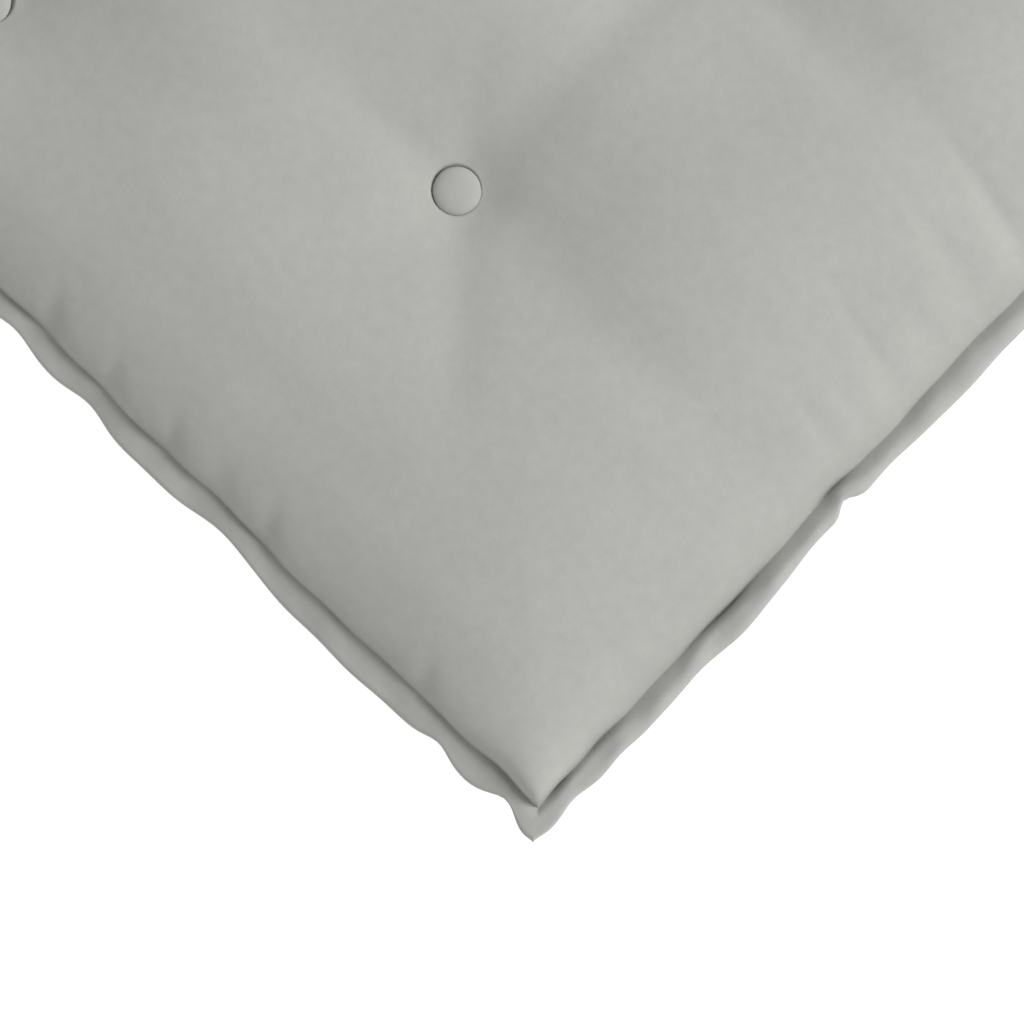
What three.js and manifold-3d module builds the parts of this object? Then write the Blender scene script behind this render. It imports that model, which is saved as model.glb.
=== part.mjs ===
// Button-tufted back cushion, lying on its back: a filled velvet cover with a flat flange sewn off round its edge,
// and covered buttons that draw the front down into soft dimples.
// Millimetres, +Z up. The origin is on the surface that the cushion lies on, under its middle.
import * as THREE from "three";
import { mergeVertices } from "three/addons/utils/BufferGeometryUtils.js";
import Module from "manifold-3d";

const wasm = await Module();
wasm.setup();

// The seam is the line of stitches that parts the filled middle from the flange.
const SEAM_LENGTH = 790;
const SEAM_WIDTH = 480;
const SEAM_HEIGHT = 32;
const SEAM_THICKNESS = 2.4;
const LONG_SIDE_DRAW_IN = 3;
const SHORT_SIDE_DRAW_IN = 1.5;

// Front crown, and the back that lies flat on the surface.
const CROWN = 29;
const BACK_REACH = 58;

// How the crown rises from the seam: a short wall, a round shoulder and a low dome, each with its share of the crown
// and how far in from the seam it takes.
const LONG_SIDE_RISE = {
  wall: { share: 0.27, reach: 1.3 },
  shoulder: { share: 0.39, reach: 50 },
  dome: { share: 0.34, reach: 150 },
};
const END_RISE = {
  wall: { share: 0.06, reach: 2.5 },
  shoulder: { share: 0.7, reach: 95 },
  dome: { share: 0.24, reach: 150 },
};

// Tufts: rows of buttons, every second column offset by half a pitch.
const TUFT_PITCH_X = 195;
const TUFT_PITCH_Y = 153;
const TUFT_DEPTH = 15.7;
const TUFT_FLOOR_RADIUS = 9.5;
const TUFT_SPREAD = 27;
const BACK_TUFT_DEPTH = 9;
const BACK_TUFT_REACH = 46;

// Soft troughs that run between neighbouring tufts and out to the ends of the cushion.
const TROUGH_DEPTH = 3.5;
const END_TROUGH_DEPTH = 1.4;
const TROUGH_SPREAD = 14;
const END_TROUGH_SPREAD = 20;

// Flange: two layers of cover turned through, soft and a little full between the seam and the edge.
const FLANGE_WIDTH = 11.5;
const FLANGE_CREST_SHARE = 0.6;
const FLANGE_CREST_THICKNESS = 5.6;
const FLANGE_EDGE_THICKNESS = 2.6;
const FLANGE_EDGE_SHARE = 0.97;
const FLANGE_STEP = 7.5;
const RIPPLE_PITCH = 61;
const RIPPLE_HEIGHT = 0.8;
const CORNER_EASE = 14;
const TIP_SHORTENING = 0.13;
const TIP_REACH = 6;

// Covered buttons, each on the floor of its dimple.
const BUTTON_RADIUS = 10.3;
const BUTTON_RIM_HEIGHT = 2.2;
const BUTTON_DOME_HEIGHT = 3;
const BUTTON_BASE_RADIUS = 8.6;
const BUTTON_DOME_FULLNESS = 0.8;
const BUTTON_SIDES = 24;
const BUTTON_DOME_STEPS = 4;
const CLEARANCE = 0.3;
const POCKET_HEIGHT = 40;

// Grid lines between two stations, as shares of the way: close together at a tuft and at the seam.
const SHARES_BETWEEN_COLUMNS = [0.065, 0.16, 0.3, 0.5, 0.7, 0.84, 0.935];
const SHARES_BETWEEN_ROWS = [0.16, 0.38, 0.62, 0.84];

// Grid lines between the outer tufts and the seam, by their distance in from the seam. The back is flat from the line
// at its reach.
const INSETS_FROM_END = [187, 168, 142, 112, 84, BACK_REACH, 30, 15, 6, 3, 1.2];
const INSETS_FROM_LONG_SIDE = [74, BACK_REACH, 30, 15, 6, 3, 1.2];

// Folds where the flange is nipped in, or full where bite is under 0: side counts round from the front edge (-Y),
// and at is the distance along it.
const FLANGE_FOLDS = [
  { side: 0, at: 96, spread: 10, bite: 2.8, lift: 1.6 },
  { side: 0, at: 150, spread: 30, bite: -1.2, lift: 0.4 },
  { side: 0, at: 214, spread: 14, bite: 2, lift: -1.2 },
  { side: 0, at: 330, spread: 9, bite: 3.2, lift: 1.8 },
  { side: 0, at: 410, spread: 24, bite: -0.8, lift: -0.6 },
  { side: 0, at: 490, spread: 12, bite: 3, lift: 1.2 },
  { side: 0, at: 534, spread: 12, bite: 2.2, lift: -0.8 },
  { side: 0, at: 576, spread: 14, bite: -0.4, lift: 0.6 },
  { side: 0, at: 613, spread: 16, bite: 2.2, lift: 1 },
  { side: 0, at: 690, spread: 42, bite: -1.8, lift: -0.5 },
  { side: 0, at: 738, spread: 8, bite: 2.8, lift: 1.6 },
  { side: 0, at: 757, spread: 9, bite: -1.1, lift: 0.5 },
  { side: 0, at: 775, spread: 8, bite: 2, lift: -0.6 },
  { side: 1, at: 15, spread: 9, bite: 2, lift: 0.6 },
  { side: 1, at: 44, spread: 8, bite: 1.5, lift: 0.6 },
  { side: 1, at: 94, spread: 14, bite: 1, lift: -0.8 },
  { side: 1, at: 119, spread: 14, bite: -1, lift: 0.5 },
  { side: 1, at: 160, spread: 16, bite: 1.6, lift: 0.6 },
  { side: 1, at: 183, spread: 5, bite: 3.6, lift: 1.6 },
  { side: 1, at: 210, spread: 18, bite: 1.4, lift: -0.4 },
  { side: 1, at: 255, spread: 24, bite: -0.8, lift: 0.6 },
  { side: 1, at: 306, spread: 11, bite: 2.4, lift: -1.4 },
  { side: 1, at: 398, spread: 9, bite: 3, lift: 1.4 },
  { side: 1, at: 440, spread: 12, bite: -1, lift: -0.5 },
  { side: 2, at: 72, spread: 9, bite: 2.6, lift: 1.4 },
  { side: 2, at: 130, spread: 24, bite: -1.2, lift: -0.6 },
  { side: 2, at: 203, spread: 8, bite: 3.4, lift: 1.6 },
  { side: 2, at: 318, spread: 14, bite: 2.2, lift: -1.2 },
  { side: 2, at: 380, spread: 26, bite: -1.4, lift: 0.6 },
  { side: 2, at: 452, spread: 10, bite: 3, lift: 1.4 },
  { side: 2, at: 587, spread: 12, bite: 2.4, lift: -1 },
  { side: 2, at: 650, spread: 22, bite: -1, lift: 0.5 },
  { side: 2, at: 701, spread: 8, bite: 3.2, lift: 1.6 },
  { side: 2, at: 772, spread: 8, bite: 2.8, lift: -0.8 },
  { side: 3, at: 16, spread: 9, bite: 2.8, lift: 1 },
  { side: 3, at: 61, spread: 10, bite: 2.6, lift: 1.4 },
  { side: 3, at: 120, spread: 22, bite: -1.2, lift: -0.5 },
  { side: 3, at: 177, spread: 8, bite: 3.4, lift: -1.2 },
  { side: 3, at: 289, spread: 13, bite: 2.2, lift: 1.2 },
  { side: 3, at: 350, spread: 20, bite: -1, lift: 0.5 },
  { side: 3, at: 415, spread: 9, bite: 3, lift: 1.6 },
];

const halfLength = SEAM_LENGTH / 2;
const halfWidth = SEAM_WIDTH / 2;
const sideLengths = [SEAM_LENGTH, SEAM_WIDTH, SEAM_LENGTH, SEAM_WIDTH];

const velvet = new THREE.MeshStandardMaterial({ color: 0xabaca7, roughness: 0.92, metalness: 0 });
const buttonVelvet = new THREE.MeshStandardMaterial({ color: 0xadaea9, roughness: 0.88, metalness: 0 });

// Tuft places: three in the middle column, and two in each outer column, half a pitch off.
const tufts = [];
for (const column of [-1, 0, 1]) {
  const rows = column === 0 ? [-1, 0, 1] : [-0.5, 0.5];
  for (const row of rows) {
    tufts.push(new THREE.Vector2(column * TUFT_PITCH_X, row * TUFT_PITCH_Y));
  }
}

// Troughs between neighbours in a column, and from the outer columns to the ends.
const troughs = [];
for (const a of tufts) {
  for (const b of tufts) {
    if (a.x === b.x && b.y - a.y === TUFT_PITCH_Y) {
      troughs.push({ from: a, to: b, depth: TROUGH_DEPTH, spread: TROUGH_SPREAD });
    }
  }
  if (a.x !== 0) {
    const end = new THREE.Vector2(Math.sign(a.x) * halfLength, a.y);
    troughs.push({ from: a, to: end, depth: END_TROUGH_DEPTH, spread: END_TROUGH_SPREAD });
  }
}

// What is still to rise at a distance in from the seam: 1 at the seam, 0 at the reach.
function leftToRise(distance, reach) {
  return 1 - Math.min(Math.max(distance / reach, 0), 1);
}

// Share of the front's crown at a distance in from the seam.
function frontRise(distance, { wall, shoulder, dome }) {
  const upWall = wall.share * (1 - Math.exp(-distance / wall.reach));
  const upShoulder = shoulder.share * (1 - leftToRise(distance, shoulder.reach) ** 2);
  const upDome = dome.share * (1 - leftToRise(distance, dome.reach) ** 2);
  return upWall + upShoulder + upDome;
}

// Share of the back's depth at a distance in from the seam: steep at the seam, level at the reach.
function backRise(distance) {
  return Math.sqrt(1 - leftToRise(distance, BACK_REACH) ** 2);
}

// How far the buttons and the troughs between them pull the front down.
function frontDip(x, y) {
  const place = new THREE.Vector2(x, y);
  let dip = 0;
  for (const tuft of tufts) {
    const away = Math.max(0, place.distanceTo(tuft) - TUFT_FLOOR_RADIUS);
    dip += TUFT_DEPTH * Math.exp(-away / TUFT_SPREAD);
  }
  for (const { from, to, depth, spread } of troughs) {
    const line = to.clone().sub(from);
    const share = place.clone().sub(from).dot(line) / line.lengthSq();
    const nearest = from.clone().addScaledVector(line, Math.min(Math.max(share, 0), 1));
    const across = place.distanceTo(nearest) / spread;
    dip += depth * Math.exp(-across * across);
  }
  return dip;
}

function frontHeight(x, y) {
  const fromEnds = frontRise(halfLength - Math.abs(x), END_RISE);
  const share = fromEnds * frontRise(halfWidth - Math.abs(y), LONG_SIDE_RISE);
  return SEAM_HEIGHT + SEAM_THICKNESS / 2 + share * (CROWN - frontDip(x, y));
}

// The back lies flat on the surface, apart from its rounded rim and the pull of the tufts.
function backHeight(x, y) {
  const place = new THREE.Vector2(x, y);
  let pull = 0;
  for (const tuft of tufts) {
    const near = Math.max(0, 1 - place.distanceTo(tuft) / BACK_TUFT_REACH);
    pull += BACK_TUFT_DEPTH * near * near;
  }
  const share = backRise(halfLength - Math.abs(x)) * backRise(halfWidth - Math.abs(y));
  return (SEAM_HEIGHT - SEAM_THICKNESS / 2) * (1 - share) + pull;
}

// The sides are drawn in between the corners.
function drawnIn(x, y) {
  const alongX = x / halfLength;
  const alongY = y / halfWidth;
  return new THREE.Vector2(
    x - alongX * SHORT_SIDE_DRAW_IN * (1 - alongY * alongY) ** 2,
    y - alongY * LONG_SIDE_DRAW_IN * (1 - alongX * alongX) ** 2,
  );
}

// Grid lines from one end of the seam to the other, by way of the tufts.
function gridLines(stations, sharesBetween, half, insets) {
  const lines = [];
  stations.forEach((station, i) => {
    lines.push(station);
    if (i + 1 < stations.length) {
      sharesBetween.forEach((share) => lines.push(station + share * (stations[i + 1] - station)));
    }
  });
  const outer = [...insets, 0].map((inset) => half - inset);
  return [...outer.map((line) => -line).reverse(), ...lines, ...outer];
}

const columnStations = [-TUFT_PITCH_X, 0, TUFT_PITCH_X];
const rowStations = [-1, -0.5, 0, 0.5, 1].map((row) => row * TUFT_PITCH_Y);
const linesX = gridLines(columnStations, SHARES_BETWEEN_COLUMNS, halfLength, INSETS_FROM_END);
const linesY = gridLines(rowStations, SHARES_BETWEEN_ROWS, halfWidth, INSETS_FROM_LONG_SIDE);

// A closed surface under construction: points, and triangles that face outwards.
const points = [];
const triangles = [];

function addPoint(x, y, z) {
  points.push(x, y, z);
  return points.length / 3 - 1;
}

// One face of the cover over the whole grid. Returns the index of the point at each pair of lines.
function addFace(height, facesUp) {
  const index = linesX.map((x) =>
    linesY.map((y) => {
      const plan = drawnIn(x, y);
      return addPoint(plan.x, plan.y, height(x, y));
    }),
  );
  for (let i = 0; i + 1 < linesX.length; i++) {
    for (let j = 0; j + 1 < linesY.length; j++) {
      const quad = [index[i][j], index[i + 1][j], index[i + 1][j + 1], index[i][j + 1]];
      const [a, b, c, d] = facesUp ? quad : quad.reverse();
      triangles.push(a, b, c, a, c, d);
    }
  }
  return index;
}

// The seam's points of one face, in order round the cushion, each with its place: side number plus share of the side.
function seamLoop(index) {
  const lastX = linesX.length - 1;
  const lastY = linesY.length - 1;
  const shareX = (i) => (linesX[i] + halfLength) / SEAM_LENGTH;
  const shareY = (j) => (linesY[j] + halfWidth) / SEAM_WIDTH;
  const loop = [];
  for (let i = 0; i < lastX; i++) loop.push({ place: shareX(i), point: index[i][0] });
  for (let j = 0; j < lastY; j++) loop.push({ place: 1 + shareY(j), point: index[lastX][j] });
  for (let i = lastX; i > 0; i--) loop.push({ place: 3 - shareX(i), point: index[i][lastY] });
  for (let j = lastY; j > 0; j--) loop.push({ place: 4 - shareY(j), point: index[0][j] });
  return loop;
}

// How much a place on the flange is nipped in and lifted. Both fade out at the corners, which stay pointed.
function flangeFold(side, at) {
  const toCorner = Math.min(at, sideLengths[side] - at);
  const ease = Math.min(1, toCorner / CORNER_EASE);
  let bite = 0;
  let lift = RIPPLE_HEIGHT * Math.sin((2 * Math.PI * at) / RIPPLE_PITCH + side);
  for (const fold of FLANGE_FOLDS) {
    if (fold.side === side) {
      const off = (at - fold.at) / fold.spread;
      const strength = Math.exp(-off * off);
      bite += fold.bite * strength;
      lift += fold.lift * strength;
    }
  }
  return { bite: bite * ease, lift: lift * ease };
}

// A ring round the flange at a share of its width, above or below the flange's middle.
function flangeRing(widthShare, aboveMiddle) {
  const ring = [];
  sideLengths.forEach((length, side) => {
    const steps = Math.round(length / FLANGE_STEP);
    for (let step = 0; step < steps; step++) {
      const share = step / steps;
      const fold = flangeFold(side, share * length);
      const toCorner = Math.min(share, 1 - share) * length;
      const shortening = TIP_SHORTENING * Math.exp(-((toCorner / TIP_REACH) ** 2));
      const outward = widthShare * FLANGE_WIDTH * (1 - shortening);
      const along = (2 * share - 1) * (length / 2 + outward);
      const turn = (side * Math.PI) / 2;
      const halfAcross = side % 2 === 0 ? halfWidth : halfLength;
      const seamAlong = (2 * share - 1) * (length / 2);
      const straight = new THREE.Vector2(seamAlong, -halfAcross).rotateAround(new THREE.Vector2(), turn);
      const drawn = drawnIn(straight.x, straight.y).sub(straight);
      const place = new THREE.Vector2(along, -halfAcross - outward + widthShare * fold.bite);
      place.rotateAround(new THREE.Vector2(), turn).add(drawn);
      const z = SEAM_HEIGHT + aboveMiddle + widthShare * fold.lift;
      ring.push({ place: side + share, point: addPoint(place.x, place.y, z) });
    }
  });
  return ring;
}

// Triangles between two rings that run the same way round, whatever the number of points in each.
function bridge(first, second) {
  let a = 0;
  let b = 0;
  const placeOf = (ring, i) => (i < ring.length ? ring[i].place : 4 + ring[i - ring.length].place);
  while (a < first.length || b < second.length) {
    const here = first[a % first.length].point;
    const there = second[b % second.length].point;
    const stepFirst = b === second.length || (a < first.length && placeOf(first, a + 1) < placeOf(second, b + 1));
    if (stepFirst) {
      a += 1;
      triangles.push(here, there, first[a % first.length].point);
    } else {
      b += 1;
      triangles.push(here, there, second[b % second.length].point);
    }
  }
}

// A three.js geometry as a solid for boolean work, and back.
function toSolid(geometry) {
  const bare = geometry.clone();
  bare.deleteAttribute("normal");
  bare.deleteAttribute("uv");
  const merged = mergeVertices(bare);
  return new wasm.Manifold(
    new wasm.Mesh({
      numProp: 3,
      vertProperties: merged.getAttribute("position").array,
      triVerts: new Uint32Array(merged.index.array),
    }),
  );
}

function toGeometry(solid) {
  const mesh = solid.getMesh();
  const geometry = new THREE.BufferGeometry();
  geometry.setAttribute("position", new THREE.BufferAttribute(mesh.vertProperties, 3));
  geometry.setIndex(new THREE.BufferAttribute(mesh.triVerts, 1));
  geometry.computeVertexNormals();
  return geometry;
}

// The filled cover: front, flange and back in one closed surface.
function coverGeometry() {
  const front = seamLoop(addFace(frontHeight, true));
  const back = seamLoop(addFace(backHeight, false));
  const rings = [
    front,
    flangeRing(FLANGE_CREST_SHARE, FLANGE_CREST_THICKNESS / 2),
    flangeRing(FLANGE_EDGE_SHARE, FLANGE_EDGE_THICKNESS / 2),
    flangeRing(1, 0),
    flangeRing(FLANGE_EDGE_SHARE, -FLANGE_EDGE_THICKNESS / 2),
    flangeRing(FLANGE_CREST_SHARE, -FLANGE_CREST_THICKNESS / 2),
    back,
  ];
  for (let i = 0; i + 1 < rings.length; i++) bridge(rings[i], rings[i + 1]);
  const geometry = new THREE.BufferGeometry();
  geometry.setAttribute("position", new THREE.Float32BufferAttribute(points, 3));
  geometry.setIndex(triangles);
  return geometry;
}

// Height of a button's flat underside, just clear of the floor of its dimple.
function buttonSeat(tuft) {
  return frontHeight(tuft.x, tuft.y) + CLEARANCE;
}

// The space that a button takes up in the dimple, open at the top.
function pocketGeometry(tuft) {
  const radius = BUTTON_RADIUS + CLEARANCE;
  const pocket = new THREE.CylinderGeometry(radius, radius, POCKET_HEIGHT, BUTTON_SIDES);
  pocket.rotateX(Math.PI / 2);
  pocket.translate(tuft.x, tuft.y, buttonSeat(tuft) - 2 * CLEARANCE + POCKET_HEIGHT / 2);
  return pocket;
}

// A covered button: a flat underside, a rim turned under and a low dome.
function buttonGeometry() {
  const profile = [new THREE.Vector2(0, 0), new THREE.Vector2(BUTTON_BASE_RADIUS, 0)];
  for (let step = 0; step <= BUTTON_DOME_STEPS; step++) {
    const angle = (step / BUTTON_DOME_STEPS) * (Math.PI / 2);
    const radius = step === BUTTON_DOME_STEPS ? 0 : BUTTON_RADIUS * Math.cos(angle) ** BUTTON_DOME_FULLNESS;
    profile.push(new THREE.Vector2(radius, BUTTON_RIM_HEIGHT + BUTTON_DOME_HEIGHT * Math.sin(angle)));
  }
  return new THREE.LatheGeometry(profile, BUTTON_SIDES).rotateX(Math.PI / 2);
}

const backCushion = new THREE.Group();

let filled = toSolid(coverGeometry());
for (const tuft of tufts) filled = filled.subtract(toSolid(pocketGeometry(tuft)));
const cushion = new THREE.Mesh(toGeometry(filled), velvet);
cushion.name = "cushion";
backCushion.add(cushion);

tufts.forEach((tuft, i) => {
  const button = new THREE.Mesh(buttonGeometry(), buttonVelvet);
  button.name = `button_${i + 1}`;
  button.position.set(tuft.x, tuft.y, buttonSeat(tuft));
  backCushion.add(button);
});

export default backCushion;
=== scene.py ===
"""Looks of a button-tufted velvet back cushion that lies on its back: its filled cover, with a soft flange
round the edge, and the covered buttons that draw the front down. Sizes are in millimetres until a mesh is
made."""
import math

import bpy
import numpy as np
from mathutils import Matrix, Vector


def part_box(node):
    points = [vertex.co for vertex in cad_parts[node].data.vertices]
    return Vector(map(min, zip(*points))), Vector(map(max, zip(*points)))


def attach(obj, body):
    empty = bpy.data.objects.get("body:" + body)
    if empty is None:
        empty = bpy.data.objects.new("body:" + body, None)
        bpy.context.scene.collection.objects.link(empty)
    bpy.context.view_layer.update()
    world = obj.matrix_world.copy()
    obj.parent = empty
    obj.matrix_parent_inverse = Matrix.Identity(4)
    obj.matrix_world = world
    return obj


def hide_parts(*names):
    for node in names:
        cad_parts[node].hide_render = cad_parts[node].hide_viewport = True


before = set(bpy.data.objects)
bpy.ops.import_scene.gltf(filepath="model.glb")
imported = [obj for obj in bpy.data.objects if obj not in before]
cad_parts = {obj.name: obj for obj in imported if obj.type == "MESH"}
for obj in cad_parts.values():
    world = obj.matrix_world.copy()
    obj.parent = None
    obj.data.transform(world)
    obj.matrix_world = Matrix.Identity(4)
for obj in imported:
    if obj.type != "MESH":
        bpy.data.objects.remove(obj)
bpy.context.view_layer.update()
MM = 0.001

# The seam is the line of stitches that parts the filled middle from the flange.
SEAM_LENGTH = 790
SEAM_WIDTH = 480
SEAM_HEIGHT = 32
SEAM_THICKNESS = 1.0
LONG_SIDE_DRAW_IN = 4.5
SHORT_SIDE_DRAW_IN = 1.5
HALF_LENGTH = SEAM_LENGTH / 2
HALF_WIDTH = SEAM_WIDTH / 2
SIDE_LENGTHS = (SEAM_LENGTH, SEAM_WIDTH, SEAM_LENGTH, SEAM_WIDTH)
INWARD = ((0, 1), (-1, 0), (0, -1), (1, 0))

# The seam wanders a little. A turn is how far each side's wave is ahead of the wave of the side before it.
SEAM_WAVES = [
    # pitch, height, turn
    (87, 0.45, 1.7),
    (33, 0.18, 1.0),
]
SEAM_WANDER_REACH = 14
SEAM_WANDER_EASE = 25

# Sides count round from the front edge (-Y), and each place is given by how far along its side it is.
# Here the seam is drawn further in, or out where inward is under 0.
SEAM_SHIFTS = [
    # side, at, spread, inward
    (0, 140, 20, 1.0),
    (0, 372, 18, -1.1),
    (0, 497, 14, 1.3),
    (0, 556, 18, -1.3),
    (0, 603, 13, 0.7),
    (0, 643, 16, -1.2),
    (0, 766, 14, 1.8),
    (1, 36, 32, 1.2),
    (1, 112, 18, -0.5),
    (1, 183, 12, 0.6),
    (1, 330, 20, -1.0),
    (2, 150, 20, 1.0),
    (2, 420, 18, -1.1),
    (2, 655, 16, 0.9),
    (3, 95, 24, 1.1),
    (3, 240, 18, -0.9),
    (3, 390, 16, 1.2),
]

# Here the stitches are sunk between the front and the flange.
SEAM_SINK_REACH = 1.1
SEAM_SINKS = [
    # side, at, spread, depth
    (1, 12, 7, 3.5),
    (1, 37, 9, 1.8),
    (1, 112, 16, 5.0),
    (1, 183, 7, 1.5),
    (1, 345, 13, 2.5),
    (1, 417, 14, 3.0),
    (3, 52, 11, 2.5),
    (3, 148, 14, 3.5),
    (3, 331, 13, 2.5),
]

# Front crown before it is blown up, with corners that are filled out, and the back that lies flat.
CROWN = 25
CORNER_FULLNESS = 1.5
CORNER_PUFF = 8.5
CORNER_PUFF_WALL = 1.9
CORNER_PUFF_REACH = 28
BACK_REACH = 58

# How the crown rises from the seam: each form's share of it, and how far in from the seam it takes.
LONG_SIDE_RISE = {"wall": (0.29, 1.5), "roll": (0.05, 14), "shoulder": (0.45, 42), "dome": (0.18, 150)}
END_RISE = {"wall": (0.06, 2.5), "roll": (0.18, 30), "shoulder": (0.7, 95), "dome": (0.15, 150)}

# Tufts, in columns that are offset by half a pitch.
TUFT_PITCH_X = 195.0
TUFT_PITCH_Y = 153.0
TUFT_DEPTH = 9.4
TUFT_FLOOR_RADIUS = 9.5
TUFT_SPREAD = 28
TUFT_SOFTNESS = 12
BACK_TUFT_DEPTH = 9
BACK_TUFT_REACH = 46
TUFTS = [
    (column * TUFT_PITCH_X, row * TUFT_PITCH_Y)
    for column in (-1, 0, 1)
    for row in ((-1, 0, 1) if column == 0 else (-0.5, 0.5))
]

# Soft troughs between neighbours in a column, and from the outer columns to the ends.
TROUGH_DEPTH = 2.2
END_TROUGH_DEPTH = 1.4
TROUGH_SPREAD = 16
END_TROUGH_SPREAD = 20

# Flange: two layers of cover, soft between the seam and the edge. It hangs a little on the long sides, and is
# full on the ends. The shares are of its width: where it is full, and where it starts to round off.
FLANGE_WIDTH = 11.5
FLANGE_FORMS = [
    # half_thickness, crest_share, edge_share, hang
    (2.2, 0.36, 0.86, 1.6),
    (5.0, 0.6, 0.62, -1.0),
    (2.2, 0.36, 0.86, 1.6),
    (5.0, 0.6, 0.62, -1.0),
]
FLANGE_CORNER_FORM = (2.6, 0.28, 0.88)
FLANGE_CORNER_REACH = 34
FLANGE_CORNER_HOLLOW = 1.2
FLANGE_SHARES = (0.04, 0.1, 0.18, 0.3, 0.45, 0.58, 0.68, 0.79, 0.89, 0.96, 1.0)
FLANGE_SOFTNESS = 0.3
FLANGE_UNDERSIDE = 0.85
FLANGE_RIPPLES = [
    # pitch, height, turn
    (61, 0.8, 1.0),
]
FLANGE_FULLNESS_WAVES = [
    # pitch, share, turn
    (47, 0.14, 2.0),
    (23, 0.1, 1.0),
]
BITE_EASE = 14
LIFT_EASE = 34
TIP_SHORTENING = 0.13
TIP_REACH = 6

# How far the tip of each corner leans.
TIP_LEAN_REACH = 12
TIP_LEANS = [
    # corner, lean_x, lean_y
    ((1, -1), -1.8, -1.7),
    ((1, 1), 0.9, -1.2),
    ((-1, 1), 1.4, 0.8),
    ((-1, -1), -0.8, 1.3),
]

# Where the flange is nipped in, or full where bite is under 0.
FLANGE_FOLDS = [
    # side, at, spread, bite, lift
    (0, 96, 10, 2.8, 1.6),
    (0, 150, 30, -1.2, 0.4),
    (0, 214, 14, 2.0, -1.2),
    (0, 330, 9, 3.2, 1.8),
    (0, 410, 24, -0.8, -0.6),
    (0, 490, 12, 3.0, 1.2),
    (0, 534, 12, 2.2, -0.8),
    (0, 576, 14, -0.4, 0.6),
    (0, 613, 16, 2.2, 1.0),
    (0, 690, 42, -1.5, -0.5),
    (0, 731, 8, 2.8, 1.6),
    (0, 751, 9, -0.6, 0.5),
    (0, 767, 8, 3.4, 1.6),
    (1, 23, 9, 2.6, -1.8),
    (1, 50, 9, 1.5, 0.6),
    (1, 94, 14, 1.0, -0.8),
    (1, 119, 14, -0.3, 0.5),
    (1, 160, 16, 1.6, 0.6),
    (1, 183, 5, 4.4, 1.6),
    (1, 209, 18, 2.0, -0.4),
    (1, 255, 24, -0.8, 0.6),
    (1, 306, 11, 2.4, -1.4),
    (1, 398, 9, 3.0, 1.4),
    (1, 440, 12, -1.0, -0.5),
    (2, 72, 9, 2.6, 1.4),
    (2, 130, 24, -1.2, -0.6),
    (2, 203, 8, 3.4, 1.6),
    (2, 318, 14, 2.2, -1.2),
    (2, 380, 26, -1.4, 0.6),
    (2, 452, 10, 3.0, 1.4),
    (2, 587, 12, 2.4, -1.0),
    (2, 650, 22, -1.0, 0.5),
    (2, 701, 8, 3.2, 1.6),
    (2, 772, 8, 2.8, -0.8),
    (3, 16, 9, 2.8, 1.0),
    (3, 61, 10, 2.6, 1.4),
    (3, 120, 22, -1.2, -0.5),
    (3, 177, 8, 3.4, -1.2),
    (3, 289, 13, 2.2, 1.2),
    (3, 350, 20, -1.0, 0.5),
    (3, 415, 9, 3.0, 1.6),
]

# Places on the ends where the flange is tucked hard against the front: how much nearer the seam it is full
# there, and how much thinner it is.
FLANGE_TUCKS = [
    # side, at, spread, nearer, thinner
    (1, 37, 20, 0.7, 0.35),
    (1, 112, 20, 0.6, 0.2),
    (1, 183, 9, 0.5, 0.2),
    (1, 255, 40, 0.35, 0.25),
    (1, 345, 18, 0.5, 0.2),
    (1, 417, 22, 0.5, 0.2),
    (3, 52, 16, 0.5, 0.2),
    (3, 148, 20, 0.6, 0.2),
    (3, 331, 22, 0.5, 0.2),
]

# Puckers where the seam draws the front in: share is how much of the rise is lost at the seam.
SEAM_PUCKERS = [
    # side, at, spread, reach, share
    (0, 58, 7, 10, 0.25),
    (0, 121, 9, 26, 0.12),
    (0, 196, 7, 9, 0.28),
    (0, 262, 10, 30, 0.1),
    (0, 351, 7, 11, 0.26),
    (0, 428, 8, 12, 0.21),
    (0, 508, 9, 10, 0.42),
    (0, 543, 7, 9, 0.36),
    (0, 578, 8, 9, 0.36),
    (0, 605, 12, 10, 0.2),
    (0, 633, 8, 10, 0.32),
    (0, 723, 8, 9, 0.34),
    (1, 62, 10, 22, 0.06),
    (1, 190, 9, 30, 0.1),
    (1, 206, 6, 18, 0.08),
    (1, 227, 8, 34, 0.09),
    (1, 250, 9, 28, 0.09),
    (1, 276, 12, 40, 0.12),
    (1, 304, 9, 42, 0.16),
    (1, 396, 7, 22, 0.14),
    (2, 47, 7, 11, 0.25),
    (2, 139, 8, 12, 0.21),
    (2, 222, 7, 10, 0.28),
    (2, 301, 10, 32, 0.1),
    (2, 388, 7, 11, 0.26),
    (2, 470, 8, 14, 0.21),
    (2, 559, 7, 10, 0.28),
    (2, 640, 9, 26, 0.12),
    (2, 733, 7, 10, 0.25),
    (3, 83, 8, 12, 0.21),
    (3, 171, 10, 45, 0.11),
    (3, 254, 7, 11, 0.25),
    (3, 322, 11, 50, 0.1),
    (3, 411, 7, 11, 0.23),
]

# How far a pucker leans along each side for each step in from the seam, how much it narrows over its reach,
# and how much of it the back has.
PUCKER_SLANTS = (-0.6, 0.2, 0.4, -0.3)
PUCKER_NARROWING = 0.6
BACK_PUCKER_SHARE = 0.5

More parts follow.
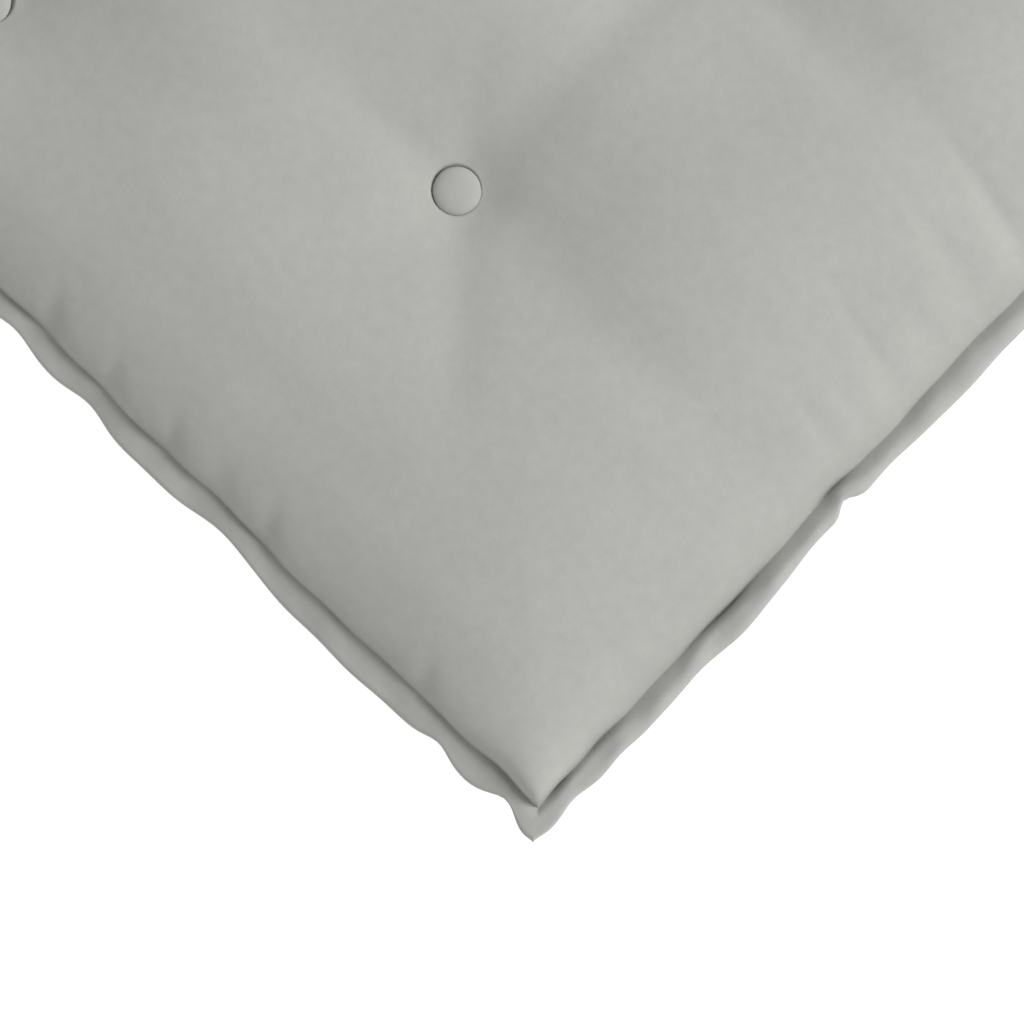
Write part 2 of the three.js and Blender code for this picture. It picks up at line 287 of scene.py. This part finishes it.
# Creases that run out from a button, by the button's number: heading is in degrees from +X towards +Y.
BUTTON_CREASES = [
    # button, heading, length, spread, depth
    (6, -47, 122, 12, 1.7),
    (6, 123, 84, 9, 0.7),
    (6, 184, 72, 8, 1.3),
    (6, 20, 60, 7, 0.7),
    (7, -88, 90, 11, 0.9),
    (7, -8, 125, 9, 1.3),
    (7, 140, 84, 8, 1.3),
    (7, 38, 96, 9, 1.4),
    (1, -140, 104, 9, 1.5),
    (1, 12, 76, 8, 1.2),
    (1, 60, 66, 8, 1.0),
    (2, 131, 108, 9, 1.5),
    (2, -20, 74, 8, 1.1),
    (2, 200, 80, 8, 1.0),
    (3, -70, 60, 8, 1.1),
    (3, 155, 92, 9, 1.3),
    (3, 35, 88, 8, 1.2),
    (4, 24, 90, 9, 1.3),
    (4, 157, 84, 8, 1.2),
    (4, -31, 70, 8, 1.0),
    (5, 72, 62, 8, 1.1),
    (5, -28, 94, 9, 1.3),
    (5, 203, 86, 8, 1.2),
]

# Covered buttons: a rounded side, a low dome over it, and a pocket in the velvet under the rim.
BUTTON_RADIUS = 10.2
BUTTON_SIDES = 72
BUTTON_SIDE = [
    # radius_share, height
    (0.55, 0.15),
    (0.86, 0.0),
    (0.95, 0.35),
    (0.99, 1.0),
    (1.0, 1.6),
    (0.998, 2.1),
]
BUTTON_DOME_DEGREES = (14, 24, 35, 47, 60, 72, 82)
BUTTON_LOBES = [
    # count, share, turn
    (3, 0.006, 1),
    (7, 0.004, 0),
]
BUTTON_RIM_HEIGHT = 2.2
BUTTON_DOME_HEIGHT = 2.9
BUTTON_DOME_FULLNESS = 0.8
BUTTON_POCKET_DEPTH = 2.7
BUTTON_POCKET_INNER = 9.7
BUTTON_POCKET_OUTER = 11.05
BUTTON_POCKET_OFF = (-0.2, -1.0)

# Mesh: line spacing of the front, closer at the seam, and the round patch of rings at each tuft.
FRONT_STEP = 2.75
SEAM_STEPS = (0.0, 0.3, 0.8, 1.5, 2.5, 3.8, 5.5, 7.6)
PATCH_HALF = 17
PATCH_RADII = (14.4, 13.7, 13.0, 12.2, 11.6, 11.1, 10.6, 10.1, 9.2, 7.5, 4.5)

# Blowing up: cloth lines, pressure and the most that a point may move.
SWELL_LINES_X = 145
SWELL_LINES_Y = 89
SWELL_PRESSURE = 4.0
SWELL_FRAMES = 20
SWELL_CAP = 22
SWELL_SMOOTHING = 6
SWELL_TUFT_HOLD = 23
SWELL_SEAM_HOLD = 60


def side_waves(waves, side, along):
    """The height of a table's waves at places along a side."""
    return sum(height * np.sin(2 * math.pi * along / pitch + turn * side) for pitch, height, turn in waves)


def front_rise(distance, rise):
    """Share of the front's crown at a distance in from the seam: a short wall, a shoulder and a low dome."""
    total = 0
    for form, (share, reach) in rise.items():
        if form == "wall":
            total = total + share * (1 - np.exp(-distance / reach))
        else:
            total = total + share * (1 - (1 - np.clip(distance / reach, 0, 1)) ** 2)
    return total


def crown_share(x, y):
    """Share of the front's crown: each side's own rise where the others are far, and full in between."""
    end = np.maximum(1e-6, front_rise(HALF_LENGTH - np.abs(x), END_RISE))
    long_side = np.maximum(1e-6, front_rise(HALF_WIDTH - np.abs(y), LONG_SIDE_RISE))
    return (end**-CORNER_FULLNESS + long_side**-CORNER_FULLNESS - 1) ** (-1 / CORNER_FULLNESS)


def corner_puff(x, y):
    """How far the filling stands up in each corner, just inside the seam."""
    from_end = HALF_LENGTH - np.abs(x)
    from_side = HALF_WIDTH - np.abs(y)
    walls = (1 - np.exp(-from_end / CORNER_PUFF_WALL)) * (1 - np.exp(-from_side / CORNER_PUFF_WALL))
    return CORNER_PUFF * walls * np.exp(-(from_end**2 + from_side**2) / CORNER_PUFF_REACH**2)


def back_rise(distance):
    """Share of the back's depth at a distance in from the seam: steep at the seam, level at the reach."""
    left = 1 - np.clip(distance / BACK_REACH, 0, 1)
    return np.sqrt(1 - left * left)


def along_sides(x, y):
    """For each side in turn: the distance along it and the distance in from it."""
    return (
        (x + HALF_LENGTH, y + HALF_WIDTH),
        (y + HALF_WIDTH, HALF_LENGTH - x),
        (HALF_LENGTH - x, HALF_WIDTH - y),
        (HALF_WIDTH - y, x + HALF_LENGTH),
    )


def seam_puckers(x, y):
    """Share of the rise that is left where the seam draws the front into short pleats, wide at the seam."""
    sides = along_sides(x, y)
    left = np.ones_like(x)
    for side, at, spread, reach, share in SEAM_PUCKERS:
        along, inward = sides[side]
        width = spread * (1 - PUCKER_NARROWING * np.clip(inward / reach, 0, 1))
        across = (along - at - PUCKER_SLANTS[side] * inward) / width
        left -= share * np.exp(-across * across) * np.exp(-((inward / reach) ** 2))
    return left


def line_dip(x, y, start, end, spread, depth, fades=False):
    """A soft trough of that depth along a line, fading to nothing at both ends if asked."""
    line = np.subtract(end, start)
    share = ((x - start[0]) * line[0] + (y - start[1]) * line[1]) / np.dot(line, line)
    held = np.clip(share, 0, 1)
    away = np.hypot(x - start[0] - held * line[0], y - start[1] - held * line[1])
    strength = 3 * np.sqrt(held) * (1 - held) ** 1.5 if fades else 1.0
    return depth * strength * np.exp(-((away / spread) ** 2))


def front_dip(x, y):
    """How far the buttons, and the troughs and creases from them, pull the front down."""
    dip = np.zeros_like(x)
    for tuft in TUFTS:
        away = np.maximum(0, np.hypot(x - tuft[0], y - tuft[1]) - TUFT_FLOOR_RADIUS)
        dip += TUFT_DEPTH * np.exp(-(np.hypot(away, TUFT_SOFTNESS) - TUFT_SOFTNESS) / TUFT_SPREAD)
    for a in TUFTS:
        if (a[0], a[1] + TUFT_PITCH_Y) in TUFTS:
            dip += line_dip(x, y, a, (a[0], a[1] + TUFT_PITCH_Y), TROUGH_SPREAD, TROUGH_DEPTH)
        if a[0]:
            end = (math.copysign(HALF_LENGTH, a[0]), a[1])
            dip += line_dip(x, y, a, end, END_TROUGH_SPREAD, END_TROUGH_DEPTH)
    return dip


def crease_dip(x, y):
    """Creases that the thread of each button pulls into the velvet."""
    dip = np.zeros_like(x)
    for button, heading, length, spread, depth in BUTTON_CREASES:
        start = TUFTS[button - 1]
        turn = math.radians(heading)
        end = (start[0] + length * math.cos(turn), start[1] + length * math.sin(turn))
        dip += line_dip(x, y, start, end, spread, depth, fades=True)
    return dip


def button_pocket(x, y):
    """The velvet dives under the rim of each button."""
    dive = np.zeros_like(x)
    for tuft in TUFTS:
        away = np.hypot(x - tuft[0] - BUTTON_POCKET_OFF[0], y - tuft[1] - BUTTON_POCKET_OFF[1])
        share = np.clip((BUTTON_POCKET_OUTER - away) / (BUTTON_POCKET_OUTER - BUTTON_POCKET_INNER), 0, 1)
        dive += BUTTON_POCKET_DEPTH * share * share * (3 - 2 * share)
    return dive


def seam_sink(x, y):
    """How far the stitches are sunk between the front and the flange."""
    sides = along_sides(x, y)
    sink = np.zeros_like(x)
    for side, at, spread, depth in SEAM_SINKS:
        along, inward = sides[side]
        sink += depth * np.exp(-(((along - at) / spread) ** 2)) * np.exp(-inward / SEAM_SINK_REACH)
    return sink


def drawn_in(x, y):
    """The sides are drawn in between the corners, and the seam wanders a little."""
    along_x = x / HALF_LENGTH
    along_y = y / HALF_WIDTH
    plan_x = x - along_x * SHORT_SIDE_DRAW_IN * (1 - along_y**2) ** 2
    plan_y = y - along_y * LONG_SIDE_DRAW_IN * (1 - along_x**2) ** 2
    for side, (along, inward) in enumerate(along_sides(x, y)):
        ease = np.clip(np.minimum(along, SIDE_LENGTHS[side] - along) / SEAM_WANDER_EASE, 0, 1)
        shift = ease * side_waves(SEAM_WAVES, side, along)
        for shift_side, at, spread, shift_in in SEAM_SHIFTS:
            if shift_side == side:
                shift = shift + shift_in * np.exp(-(((along - at) / spread) ** 2))
        wander = shift * np.exp(-inward / SEAM_WANDER_REACH)
        plan_x = plan_x + INWARD[side][0] * wander
        plan_y = plan_y + INWARD[side][1] * wander
    return plan_x, plan_y


def front_points(x, y, detail):
    """Points of the front, with the small puckers and creases if asked."""
    share = crown_share(x, y)
    height = CROWN - front_dip(x, y)
    if detail:
        share = share * seam_puckers(x, y)
        height = height - crease_dip(x, y) - button_pocket(x, y)
    plan_x, plan_y = drawn_in(x, y)
    top = SEAM_HEIGHT + SEAM_THICKNESS / 2 + share * height + corner_puff(x, y) - seam_sink(x, y)
    return np.stack([plan_x, plan_y, top], axis=-1)


def back_points(x, y):
    """Points of the back: flat on the surface, with a rounded rim and a soft pull at each tuft."""
    pull = np.zeros_like(x)
    for tuft in TUFTS:
        near = np.maximum(0, 1 - np.hypot(x - tuft[0], y - tuft[1]) / BACK_TUFT_REACH)
        pull += BACK_TUFT_DEPTH * near * near
    flat = back_rise(HALF_LENGTH - np.abs(x)) * back_rise(HALF_WIDTH - np.abs(y))
    puckered = 1 - BACK_PUCKER_SHARE * (1 - seam_puckers(x, y))
    share = np.where(flat >= 1, 1, flat * puckered)
    plan_x, plan_y = drawn_in(x, y)
    bottom = (SEAM_HEIGHT - SEAM_THICKNESS / 2) * (1 - share) + pull - (1 - share) * seam_sink(x, y)
    return np.stack([plan_x, plan_y, bottom], axis=-1)


def ring_of(index):
    """Border of a table of point numbers, in order round the cushion from the corner at -X, -Y."""
    return np.concatenate([index[:-1, 0], index[-1, :-1], index[:0:-1, -1], index[0, :0:-1]])


def squares_of(index):
    """One four-sided face for each cell of a table of point numbers, facing up."""
    corners = [index[:-1, :-1], index[1:, :-1], index[1:, 1:], index[:-1, 1:]]
    return np.stack(corners, axis=-1).reshape(-1, 4)


def band(first, second):
    """Four-sided faces between two rings with the same number of points."""
    return np.stack([first, second, np.roll(second, -1), np.roll(first, -1)], axis=-1)


def mesh_object(name, points, faces):
    mesh = bpy.data.meshes.new(name)
    mesh.from_pydata((np.asarray(points) * MM).tolist(), [], faces)
    mesh.update()
    mesh.shade_smooth()
    obj = bpy.data.objects.new(name, mesh)
    bpy.context.scene.collection.objects.link(obj)
    return obj


def swell_of_front():
    """Blows the cover up as cloth between its stitches and its buttons. Returns how far the front moves."""
    x, y = np.meshgrid(
        np.linspace(-HALF_LENGTH, HALF_LENGTH, SWELL_LINES_X),
        np.linspace(-HALF_WIDTH, HALF_WIDTH, SWELL_LINES_Y),
        indexing="ij",
    )
    start = front_points(x, y, detail=False)
    front = np.arange(x.size).reshape(x.shape)
    back = front + x.size
    points = np.concatenate([start.reshape(-1, 3), back_points(x, y).reshape(-1, 3)])
    faces = [*squares_of(front).tolist(), *squares_of(back)[:, ::-1].tolist()]
    faces += band(ring_of(front), ring_of(back)).tolist()
    cover = mesh_object("cover_to_swell", points, faces)

    held = np.zeros(x.shape, bool)
    held[[0, -1], :] = True
    held[:, [0, -1]] = True
    for tuft in TUFTS:
        held |= np.hypot(x - tuft[0], y - tuft[1]) < TUFT_FLOOR_RADIUS
    stitched = cover.vertex_groups.new(name="stitched")
    stitched.add(front[held].tolist() + back.ravel().tolist(), 1.0, "REPLACE")

    cloth = cover.modifiers.new("swell", "CLOTH")
    cloth.settings.quality = 6
    cloth.settings.mass = 0.3
    cloth.settings.tension_stiffness = 12
    cloth.settings.compression_stiffness = 12
    cloth.settings.shear_stiffness = 5
    cloth.settings.bending_stiffness = 1.5
    cloth.settings.air_damping = 2
    cloth.settings.shrink_min = -0.004
    cloth.settings.use_pressure = True
    cloth.settings.uniform_pressure_force = SWELL_PRESSURE
    cloth.settings.vertex_group_mass = "stitched"
    cloth.settings.effector_weights.gravity = 0
    cloth.collision_settings.use_collision = False
    cloth.point_cache.frame_start = 1
    cloth.point_cache.frame_end = SWELL_FRAMES
    scene = bpy.context.scene
    for step in range(1, SWELL_FRAMES + 1):
        scene.frame_set(step)
    swollen = cover.evaluated_get(bpy.context.evaluated_depsgraph_get())
    moved = np.empty(len(points) * 3)
    swollen.data.vertices.foreach_get("co", moved)
    moved = moved.reshape(-1, 3)[: x.size].reshape(x.shape + (3,)) / MM - start
    bpy.data.objects.remove(cover)
    scene.frame_set(1)
    length = np.linalg.norm(moved, axis=-1, keepdims=True)
    moved *= np.minimum(1, SWELL_CAP / np.maximum(length, 1e-9))
    for axis in [0, 1] * SWELL_SMOOTHING:
        edged = np.pad(moved, [(1, 1) if k == axis else (0, 0) for k in range(3)], mode="edge")
        before = np.take(edged, range(0, moved.shape[axis]), axis)
        after = np.take(edged, range(2, moved.shape[axis] + 2), axis)
        moved = 0.5 * moved + 0.25 * (before + after)
    free = np.ones(x.shape)
    for tuft in TUFTS:
        free *= 1 - np.exp(-((np.hypot(x - tuft[0], y - tuft[1]) / SWELL_TUFT_HOLD) ** 2))
    sides = np.minimum(HALF_LENGTH - np.abs(x), HALF_WIDTH - np.abs(y))
    free *= 1 - np.exp(-((sides / SWELL_SEAM_HOLD) ** 2))
    return moved * free[..., None]


def looked_up(table, x, y):
    """Smooth values between the lines of an even table that spans the seam's rectangle."""
    total = np.zeros(x.shape + (3,))
    places = []
    for value, half, count in ((x, HALF_LENGTH, table.shape[0]), (y, HALF_WIDTH, table.shape[1])):
        at = (value + half) / (2 * half) * (count - 1)
        first = np.clip(np.floor(at).astype(int), 0, count - 2)
        t = at - first
        weights = (
            -0.5 * t + t**2 - 0.5 * t**3,
            1 - 2.5 * t**2 + 1.5 * t**3,
            0.5 * t + 2 * t**2 - 1.5 * t**3,
            -0.5 * t**2 + 0.5 * t**3,
        )
        places.append([(np.clip(first + k - 1, 0, count - 1), w) for k, w in enumerate(weights)])
    for i, weight_i in places[0]:
        for j, weight_j in places[1]:
            total += (weight_i * weight_j)[..., None] * table[i, j]
    return total


def cloth_lines(half):
    """Lines from seam to seam, close together near the seam."""
    steps = max(1, round((half - SEAM_STEPS[-1]) / FRONT_STEP))
    inward = [*SEAM_STEPS[:-1], *np.linspace(SEAM_STEPS[-1], half, steps + 1)]
    side = np.array(inward) - half
    return np.concatenate([side, -side[-2::-1]])


def eased(share):
    """Rises smoothly from 0 to 1 and stays there."""
    held = np.clip(share, 0, 1)
    return held * held * (3 - 2 * held)


def flange_fold(side, at):
    """How much a place on the flange is nipped in and lifted. The corners stay pointed."""
    to_corner = np.minimum(at, SIDE_LENGTHS[side] - at)
    bite = np.zeros_like(at)
    *_, hang = FLANGE_FORMS[side]
    lift = side_waves(FLANGE_RIPPLES, side, at) - hang
    for fold_side, fold_at, spread, fold_bite, fold_lift in FLANGE_FOLDS:
        if fold_side == side:
            strength = np.exp(-(((at - fold_at) / spread) ** 2))
            bite += fold_bite * strength
            lift += fold_lift * strength
    return bite * eased(to_corner / BITE_EASE), lift * eased(to_corner / LIFT_EASE)


def flange_half_thickness(side, along, share):
    """Half the flange's thickness across its width: thin at the seam, full at the crest, round at the edge.
    It is fuller in some places than in others, and flatter at the corners."""
    seam = SEAM_THICKNESS / 2
    to_corner = np.minimum(along, SIDE_LENGTHS[side] - along)
    toward_corner = np.exp(-((to_corner / FLANGE_CORNER_REACH) ** 2))
    full = 1 + side_waves(FLANGE_FULLNESS_WAVES, side, along)
    half_thickness, crest_share, edge_share, _ = FLANGE_FORMS[side]
    for tuck_side, at, spread, nearer, thinner in FLANGE_TUCKS:
        if tuck_side == side:
            strength = np.exp(-(((along - at) / spread) ** 2))
            crest_share = crest_share * (1 - nearer * strength)
            half_thickness = half_thickness * (1 - thinner * strength)
    straight = (half_thickness * full, crest_share, edge_share)
    crest, crest_share, edge_share = (
        value + (corner - value) * toward_corner for value, corner in zip(straight, FLANGE_CORNER_FORM)
    )
    beside_tip = np.clip(1 - to_corner / (share * FLANGE_WIDTH), 0, 1)
    up = np.minimum(1, share * np.sqrt(1 + beside_tip**2) / crest_share)
    soft = (1 - FLANGE_SOFTNESS) * up + FLANGE_SOFTNESS * np.sin(math.pi / 2 * up)
    inner = soft + (up**FLANGE_CORNER_HOLLOW - soft) * toward_corner
    outer = np.clip((share - edge_share) / (1 - edge_share), 0, 1)
    return (seam + (crest - seam) * inner) * np.sqrt(1 - outer**2)


def flange_ring(ring_x, ring_y, share, above):
    """One ring of points round the flange, at a share of its width, above or below its middle."""
    points = np.zeros((len(ring_x), 3))
    plan_x, plan_y = drawn_in(ring_x, ring_y)
    to_corner = HALF_LENGTH - np.abs(ring_x) + HALF_WIDTH - np.abs(ring_y)
    outward = share * FLANGE_WIDTH * (1 - TIP_SHORTENING * np.exp(-((to_corner / TIP_REACH) ** 2)))
    stretch_x = ring_x * outward / HALF_LENGTH
    stretch_y = ring_y * outward / HALF_WIDTH
    sink = seam_sink(ring_x, ring_y) * np.exp(-share * FLANGE_WIDTH / SEAM_SINK_REACH)
    for corner, lean_x, lean_y in TIP_LEANS:
        at_tip = (ring_x * corner[0] > 0) & (ring_y * corner[1] > 0)
        lean = share * at_tip * np.exp(-((to_corner / TIP_LEAN_REACH) ** 2))
        stretch_x = stretch_x + lean * lean_x
        stretch_y = stretch_y + lean * lean_y
    for side, (along, inward) in enumerate(along_sides(ring_x, ring_y)):
        here = inward < 1e-6
        bite, lift = flange_fold(side, along[here])
        points[here, 0] = plan_x[here] + stretch_x[here] + INWARD[side][0] * share * bite
        points[here, 1] = plan_y[here] + stretch_y[here] + INWARD[side][1] * share * bite
        thickness = flange_half_thickness(side, along[here], share)
        points[here, 2] = SEAM_HEIGHT + share * lift + above * thickness - sink[here]
    return points


def sewn_cushion(swell):
    """The filled cover: front, flange and back in one closed mesh."""
    lines_x = cloth_lines(HALF_LENGTH)
    lines_y = cloth_lines(HALF_WIDTH)
    x, y = np.meshgrid(lines_x, lines_y, indexing="ij")
    points = []
    count = 0

    def keep(new):
        nonlocal count
        new = np.asarray(new).reshape(-1, 3)
        points.append(new)
        count += len(new)
        return np.arange(count - len(new), count)

    def front_at(px, py):
        return front_points(px, py, detail=True) + looked_up(swell, px, py)

    front = keep(front_at(x, y)).reshape(x.shape)
    cells = np.ones((len(lines_x) - 1, len(lines_y) - 1), bool)
    faces = []
    for tuft in TUFTS:
        low_i, high_i = (np.abs(lines_x - tuft[0] - off).argmin() for off in (-PATCH_HALF, PATCH_HALF))
        low_j, high_j = (np.abs(lines_y - tuft[1] - off).argmin() for off in (-PATCH_HALF, PATCH_HALF))
        cells[low_i:high_i, low_j:high_j] = False
        window = (slice(low_i, high_i + 1), slice(low_j, high_j + 1))
        border = ring_of(front[window])
        border_x = ring_of(x[window]) - tuft[0]
        border_y = ring_of(y[window]) - tuft[1]
        reach = np.hypot(border_x, border_y)
        last = border
        for radius in ((reach + PATCH_RADII[0]) / 2, *PATCH_RADII):
            ring_x = tuft[0] + border_x / reach * radius
            ring_y = tuft[1] + border_y / reach * radius
            ring = keep(front_at(ring_x, ring_y))
            faces += band(last, ring)[:, ::-1].tolist()
            last = ring
        middle = keep(front_at(np.array([tuft[0]]), np.array([tuft[1]])))[0]
        faces += [[int(a), int(b), int(middle)] for a, b in zip(last, np.roll(last, -1))]
    faces += squares_of(front)[cells.ravel()].tolist()

    ring_x, ring_y = ring_of(x), ring_of(y)
    rings = [ring_of(front)]
    for share in FLANGE_SHARES:
        rings.append(keep(flange_ring(ring_x, ring_y, share, 1)))
    for share in FLANGE_SHARES[-2::-1]:
        rings.append(keep(flange_ring(ring_x, ring_y, share, -FLANGE_UNDERSIDE)))
    for first, second in zip(rings, rings[1:]):
        faces += band(first, second).tolist()

    back = keep(back_points(x[::2, ::2], y[::2, ::2])).reshape(x[::2, ::2].shape)
    faces += squares_of(back)[:, ::-1].tolist()
    border = ring_of(back)
    under = rings[-1]
    for k, here in enumerate(border):
        following = border[(k + 1) % len(border)]
        a, b, c = under[2 * k], under[2 * k + 1], under[(2 * k + 2) % len(under)]
        faces.append([int(a), int(here), int(b)])
        faces.append([int(b), int(here), int(following)])
        faces.append([int(b), int(following), int(c)])
    return mesh_object("sewn_cushion", np.concatenate(points), faces)


def covered_button(number, tuft, velvet):
    """A button form with velvet drawn over its low dome and gathered under its rim."""
    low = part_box(f"button_{number}")[0]
    around = np.arange(BUTTON_SIDES) / BUTTON_SIDES * 2 * math.pi
    uneven = sum(share * np.sin(count * around + turn * number) for count, share, turn in BUTTON_LOBES)
    profile = list(BUTTON_SIDE)
    for lift in np.radians(BUTTON_DOME_DEGREES):
        radius_share = math.cos(lift) ** BUTTON_DOME_FULLNESS
        profile.append((radius_share, BUTTON_RIM_HEIGHT + BUTTON_DOME_HEIGHT * math.sin(lift)))
    points = []
    faces = []
    for radius_share, height in profile:
        radius = radius_share * BUTTON_RADIUS * (1 + uneven)
        ring = [radius * np.cos(around), radius * np.sin(around), np.full(BUTTON_SIDES, height)]
        points.append(np.stack(ring, axis=-1))
    for k in range(len(profile) - 1):
        first = np.arange(BUTTON_SIDES) + k * BUTTON_SIDES
        faces += band(first, first + BUTTON_SIDES)[:, ::-1].tolist()
    faces.append(list(range(BUTTON_SIDES))[::-1])
    top = len(profile) * BUTTON_SIDES
    points.append(np.array([[0, 0, BUTTON_RIM_HEIGHT + BUTTON_DOME_HEIGHT]]))
    last = np.arange(BUTTON_SIDES) + top - BUTTON_SIDES
    faces += [[int(a), int(b), top] for a, b in zip(last, np.roll(last, -1))]
    button = mesh_object(f"covered_button_{number}", np.concatenate(points), faces)
    button.data.transform(Matrix.Translation((tuft[0] * MM, tuft[1] * MM, low.z)))
    button.data.materials.append(velvet)
    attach(button, "root")
    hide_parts(f"button_{number}")


def linear(hex_colour):
    """A colour given as sRGB hex, as linear red, green, blue and full alpha."""
    channels = [int(hex_colour[i : i + 2], 16) / 255 for i in (1, 3, 5)]
    return (*[c / 12.92 if c <= 0.04045 else ((c + 0.055) / 1.055) ** 2.4 for c in channels], 1.0)


def add_node(material, kind, properties=None, values=None, links=None):
    """Adds a node, sets its properties and socket values, and links sockets given as (node, output)."""
    tree = material.node_tree
    node = tree.nodes.new(kind)
    for name, value in (properties or {}).items():
        setattr(node, name, value)
    for socket, value in (values or {}).items():
        node.inputs[socket].default_value = value
    for socket, (source, output) in (links or {}).items():
        tree.links.new(source.outputs[output], node.inputs[socket])
    return node


def polyester_velvet(name, light_hex, dark_hex):
    """Short-pile polyester velvet, woven and sheared: matt from above, a faint bloom at the edges, and
    patches that are a shade lighter or darker where the pile leans another way."""
    material = bpy.data.materials.new(name)
    material.use_nodes = True
    tree = material.node_tree
    surface = tree.nodes["Principled BSDF"]
    place = add_node(material, "ShaderNodeTexCoord")
    patches = {}
    for patch, size_mm, detail in (("leaning", 46, 3), ("brushed", 5, 3), ("pile", 0.9, 2)):
        values = {"Scale": 1 / (size_mm * MM), "Detail": detail, "Roughness": 0.58}
        patches[patch] = add_node(
            material, "ShaderNodeTexNoise", values=values, links={"Vector": (place, "Object")}
        )
    fine = add_node(
        material, "ShaderNodeMath", {"operation": "MULTIPLY"}, {1: 0.6}, {0: (patches["brushed"], "Fac")}
    )
    both = add_node(
        material,
        "ShaderNodeMath",
        {"operation": "MULTIPLY_ADD"},
        {1: 0.4},
        {0: (patches["leaning"], "Fac"), 2: (fine, 0)},
    )
    ramp = add_node(material, "ShaderNodeValToRGB", links={"Fac": (both, 0)})
    ramp.color_ramp.elements[0].position = 0.3
    ramp.color_ramp.elements[0].color = linear(dark_hex)
    ramp.color_ramp.elements[1].position = 0.7
    ramp.color_ramp.elements[1].color = linear(light_hex)
    tree.links.new(ramp.outputs["Color"], surface.inputs["Base Color"])
    bump = add_node(
        material,
        "ShaderNodeBump",
        values={"Strength": 0.25, "Distance": 0.3 * MM},
        links={"Height": (patches["pile"], "Fac")},
    )
    tree.links.new(bump.outputs["Normal"], surface.inputs["Normal"])
    surface.inputs["Roughness"].default_value = 0.92
    surface.inputs["IOR"].default_value = 1.5
    surface.inputs["Specular IOR Level"].default_value = 0.25
    surface.inputs["Sheen Weight"].default_value = 0.12
    surface.inputs["Sheen Roughness"].default_value = 0.45
    return material


velvet_cover = polyester_velvet("grey polyester velvet", "#aeafaa", "#a6a7a2")
velvet_button = polyester_velvet("grey polyester velvet drawn tight", "#aeafaa", "#a9aaa5")

cushion = sewn_cushion(swell_of_front())
cushion.data.materials.append(velvet_cover)
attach(cushion, "root")
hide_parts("cushion")
for number, tuft in enumerate(TUFTS, 1):
    covered_button(number, tuft, velvet_button)

# A plain white table, lit from within as a light table is, so that it stays white beside the cushion.
TABLE_HALF = 12000
table = mesh_object(
    "white_table",
    [(sx * TABLE_HALF, sy * TABLE_HALF, -0.5) for sx, sy in ((-1, -1), (1, -1), (1, 1), (-1, 1))],
    [(0, 1, 2, 3)],
)
opal = bpy.data.materials.new("opal acrylic sheet")
opal.use_nodes = True
opal_surface = opal.node_tree.nodes["Principled BSDF"]
opal_surface.inputs["Base Color"].default_value = linear("#8c8c8c")
opal_surface.inputs["Roughness"].default_value = 0.6
opal_surface.inputs["Emission Color"].default_value = linear("#ffffff")
opal_surface.inputs["Emission Strength"].default_value = 0.88
table.data.materials.append(opal)

# Light: an even white room, and one large soft panel from the right of the picture.
world = bpy.data.worlds.new("white room")
world.use_nodes = True
world.node_tree.nodes["Background"].inputs["Color"].default_value = (1, 1, 1, 1)
world.node_tree.nodes["Background"].inputs["Strength"].default_value = 0.55
bpy.context.scene.world = world

# Picture: seen straight down on one corner, which points at the bottom of the frame.
PICTURE_SPAN = 425.6
PICTURE_RIGHT = Vector((0.729, 0.686, 0)).normalized()
PICTURE_UP = Vector((-0.686, 0.729, 0)).normalized()
PICTURE_MIDDLE = (HALF_LENGTH - 92.55, -HALF_WIDTH + 82.41)
CAMERA_HEIGHT = 2200

panel_data = bpy.data.lights.new("soft panel", "AREA")
panel_data.shape = "SQUARE"
panel_data.size = 2.2
panel_data.energy = 107
panel = bpy.data.objects.new("soft_panel", panel_data)
PANEL_RISE = math.radians(40)
PANEL_SWING = math.radians(9)
PANEL_DISTANCE = 3600
level = PICTURE_RIGHT * math.cos(PANEL_SWING) + PICTURE_UP * math.sin(PANEL_SWING)
aim = level * math.cos(PANEL_RISE) + Vector((0, 0, math.sin(PANEL_RISE)))
target = Vector((PICTURE_MIDDLE[0], PICTURE_MIDDLE[1], SEAM_HEIGHT)) * MM
panel.location = target + aim * PANEL_DISTANCE * MM
panel.rotation_euler = aim.to_track_quat("Z", "Y").to_euler()
panel.visible_camera = False
bpy.context.scene.collection.objects.link(panel)

camera_data = bpy.data.cameras.new("camera")
camera_data.sensor_width = 36
camera_data.lens = camera_data.sensor_width * CAMERA_HEIGHT / PICTURE_SPAN
camera_data.clip_end = 100
camera = bpy.data.objects.new("camera", camera_data)
camera.matrix_world = Matrix.Translation(target + Vector((0, 0, CAMERA_HEIGHT * MM))) @ Matrix(
    (
        (PICTURE_RIGHT.x, PICTURE_UP.x, 0, 0),
        (PICTURE_RIGHT.y, PICTURE_UP.y, 0, 0),
        (0, 0, 1, 0),
        (0, 0, 0, 1),
    )
)
bpy.context.scene.collection.objects.link(camera)
bpy.context.scene.camera = camera
bpy.context.scene.view_settings.view_transform = "Standard"
